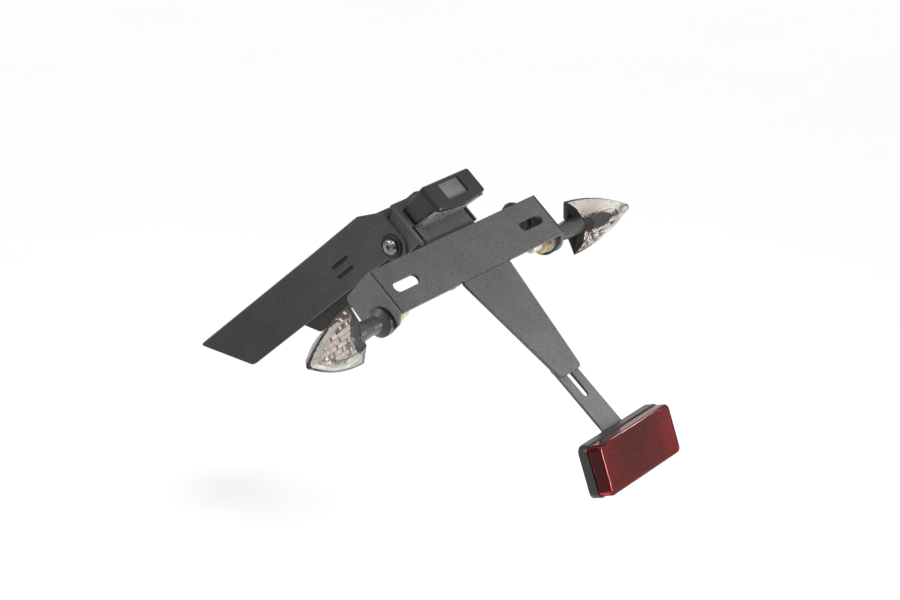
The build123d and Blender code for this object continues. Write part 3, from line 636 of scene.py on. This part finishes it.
def make_rim():
    points = []
    for share, side in rim_section:
        for x, y in outline:
            near_tip = max(0.0, (x - rim_tip_start) / (head_length - rim_tip_start))
            level = side * (rim_half + (rim_tip_half - rim_half) * near_tip)
            points.append((*drawn_in(x, y, share), level))
    faces = bands(len(outline), len(rim_section), closed=True)
    for side, place in heads:
        piece(
            f"head_rim_{side}", points, faces, place, "black_plastic", "carrier",
            smooth=optic_sharp,
        )


make_dish("optic_front", front_level, front_tint, has_cream=True, turn_faces=True)
make_dish("optic_back", back_level, back_tint, has_cream=False, turn_faces=False)
make_rim()

# Reflector optics: rows of small prisms behind the red lens. Their tints hold painted light:
# each prism's faces are painted lit and shaded, the middle is greyed by a painted reflection of
# white, and the ends are painted brighter and redder.
prism_pitch = 3.0
prism_rise = 0.9
prism_level = 15.9
prism_half_wide = 47.0
prism_half_high = 17.0
prism_corners = [(-1, 0), (0, -1), (1, 0), (0, 1)]
# Levels of the four faces of each prism, painted lit and shaded
prism_face_shading = [2.7, 0.2, 0.12, 1.8]
prism_shading_contrast = 0.35
prism_bright = 0.034
prism_end_painted_light = 0.085
prism_chance_gain = 0.02
prism_green = 0.60
prism_green_loss = 0.52
prism_blue = 0.50
prism_blue_loss = 0.44


def prism_point(x, y, level):
    """A point of the prisms, kept inside the lens."""
    inside_x = max(-prism_half_wide, min(prism_half_wide, x))
    inside_y = max(-prism_half_high, min(prism_half_high, y))
    return (inside_x, reflector_middle + inside_y, level)


def make_prisms():
    half = prism_pitch / math.sqrt(2)
    columns = int(prism_half_wide / half) + 1
    rows = int(prism_half_high / half) + 1
    points = []
    faces = []
    tints = []
    for row in range(-rows, rows + 1):
        for column in range(-columns, columns + 1):
            x = column * half
            y = row * half
            outside = abs(x) > prism_half_wide or abs(y) > prism_half_high
            if (row + column) % 2 or outside:
                continue
            top = prism_point(x, y, prism_level + prism_rise)
            corners = [
                prism_point(x + a * half, y + b * half, prism_level) for a, b in prism_corners
            ]
            # Painted light: brighter and redder towards the lens's ends, greyer in the middle
            # as a painted reflection of white
            edge = abs(x) / prism_half_wide
            bright = prism_bright + prism_end_painted_light * edge**2
            bright += prism_chance_gain * chance(row, column)
            contrast = prism_shading_contrast + (1 - prism_shading_contrast) * edge
            green = prism_green - prism_green_loss * edge
            blue = prism_blue - prism_blue_loss * edge
            # Painted light and shade: each face of a prism gets its own level, as if lit from
            # one side
            for side, share in enumerate(prism_face_shading):
                level = bright * (1 + (share - 1) * contrast)
                first = len(points)
                points += [corners[side], corners[(side + 1) % len(corners)], top]
                faces.append((first, first + 1, first + 2))
                tints += [(level, level * green, level * blue)] * 3
    piece(
        "reflector_prisms", points, faces, foot, "reflector_optic", "reflector",
        tints,
    )


make_prisms()

# Threads, drawn along z from a start to an end, in place of plain studs
thread_around = 28
thread_rows = 8
thread_depth = 0.55
thread_sharp = 50.0


def thread(name, place, body, node, radius, start, end, pitch, bore=0.0):
    depth = thread_depth * pitch
    rows = int((end - start) / pitch * thread_rows)
    points = []

    def put(r, step, z):
        angle = 2 * math.pi * step / thread_around
        points.append((r * math.cos(angle), r * math.sin(angle), z))

    for row in range(rows + 1):
        z = start + (end - start) * row / rows
        taper = max(0.0, min(1.0, (z - start) / pitch, (end - z) / pitch))
        for step in range(thread_around):
            phase = (z / pitch + step / thread_around) % 1.0
            tooth = abs(2 * phase - 1)
            put(radius - depth * (1 - tooth * taper), step, z)
    if bore:
        for z in (end, start):
            for step in range(thread_around):
                put(bore, step, z)
    faces = bands(thread_around, len(points) // thread_around, closed=bore > 0)
    if not bore:
        last = rows * thread_around
        faces.append(tuple(reversed(range(thread_around))))
        faces.append(tuple(range(last, last + thread_around)))
    made = piece(
        name, points, faces, place, "zinc_steel", body, smooth=thread_sharp
    )
    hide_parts(node)


strip_stud = tongue @ Matrix.Translation((0, -strip_stud_drop, 0))
reflector_stud = foot @ Matrix.Translation((0, reflector_middle, 0))
along_stem = turned(90, "Y")
thread(
    "strip_thread", strip_stud, "carrier", "strip_stud",
    radius=3.0, start=-13.65, end=sheet_back, pitch=1.0,
)
thread(
    "reflector_thread", reflector_stud, "reflector", "reflector_stud",
    radius=2.5, start=-9.2, end=5.0, pitch=0.8,
)
for side, place in (("right", stem), ("left", flip @ stem)):
    thread(
        f"stem_thread_{side}", place @ along_stem, "carrier", f"indicator_stud_{side}",
        radius=5.0, start=-27.0, end=8.0, pitch=1.25, bore=2.3,
    )

# Floor, light and white surroundings, in metres
floor_gap = 0.16
floor_half = 6.0
floor_glow = 0.54
world_light = 0.18
spot_softness = 0.06
white = (1, 1, 1, 1)


def seen_directly(tree):
    """1 where the camera, a reflection or a clear piece shows a surface, else 0."""
    path = add(tree, "ShaderNodeLightPath")
    seen = path.outputs["Is Camera Ray"]
    for kind in ("Is Glossy Ray", "Is Transmission Ray"):
        either = add(tree, "ShaderNodeMath", operation="MAXIMUM")
        tree.links.new(seen, either.inputs[0])
        tree.links.new(path.outputs[kind], either.inputs[1])
        seen = either.outputs[0]
    return seen


def make_floor():
    level = cad_box[0][2] - floor_gap
    signs = ((-1, -1), (1, -1), (1, 1), (-1, 1))
    mesh = bpy.data.meshes.new("floor")
    corners = [(x * floor_half, y * floor_half, level) for x, y in signs]
    mesh.from_pydata(corners, [], [(0, 1, 2, 3)])
    floor = bpy.data.objects.new("floor", mesh)
    scene.collection.objects.link(floor)
    tree, shader = new_look("floor_paint")
    cloud = noise(tree, coordinates(tree), scale=3.0, detail=4.0)
    colour = ramp(tree, cloud, grey(0.90), grey(0.93), start=0.2, end=0.8)
    tree.links.new(colour, shader.inputs["Base Color"])
    shader.inputs["Roughness"].default_value = 0.9
    shader.inputs["Specular IOR Level"].default_value = 0.1
    shader.inputs["Emission Color"].default_value = white
    glow = spread(tree, seen_directly(tree), low=0.0, high=floor_glow)
    tree.links.new(glow, shader.inputs["Emission Strength"])
    mesh.materials.append(looks["floor_paint"])


def make_world():
    world = bpy.data.worlds.new("surroundings")
    scene.world = world
    world.use_nodes = True
    tree = world.node_tree
    back = tree.nodes["Background"]
    back.inputs["Color"].default_value = white
    level = spread(tree, seen_directly(tree), low=world_light, high=1.0)
    tree.links.new(level, back.inputs["Strength"])


def put_lamp(name, data, behind, spot=(0, 0, 0)):
    """Put a lamp at a spot, with its back to the direction behind it."""
    lamp = bpy.data.objects.new(name, data)
    lamp.location = spot
    lamp.rotation_euler = behind.to_track_quat("Z", "Y").to_euler()
    scene.collection.objects.link(lamp)


def make_sun(name, azimuth, elevation, strength, angle):
    data = bpy.data.lights.new(name, "SUN")
    data.energy = strength
    data.angle = rad(angle)
    put_lamp(name, data, direction(azimuth, elevation))


def make_softbox(name, spot, target, size, power):
    data = bpy.data.lights.new(name, "AREA")
    data.shape = "SQUARE"
    data.size = size
    data.energy = power
    put_lamp(name, data, Vector(spot) - Vector(target), spot)


def make_spot(name, spot, target, cone, power):
    data = bpy.data.lights.new(name, "SPOT")
    data.spot_size = rad(cone)
    data.spot_blend = 1.0
    data.shadow_soft_size = spot_softness
    data.energy = power
    put_lamp(name, data, Vector(spot) - Vector(target), spot)


make_floor()
make_world()
make_sun("key", azimuth=205.0, elevation=58.0, strength=1.05, angle=25.0)
make_softbox("tail", spot=(0.10, -0.63, 0.03), target=(0, -0.31, -0.06), size=0.2, power=3.3)
make_spot(
    "flange", spot=(-1.2, 0.5, 0.75), target=(-0.115, -0.165, 0.045), cone=6.0, power=170.0
)
make_spot("edge", spot=(0.62, -0.34, 0.44), target=(0.005, -0.325, -0.06), cone=9.0, power=8.0)
make_spot("side", spot=(-1.2, 0.1, 0.35), target=(-0.045, -0.075, 0.045), cone=10.0, power=9.5)

scene.view_settings.view_transform = "Standard"
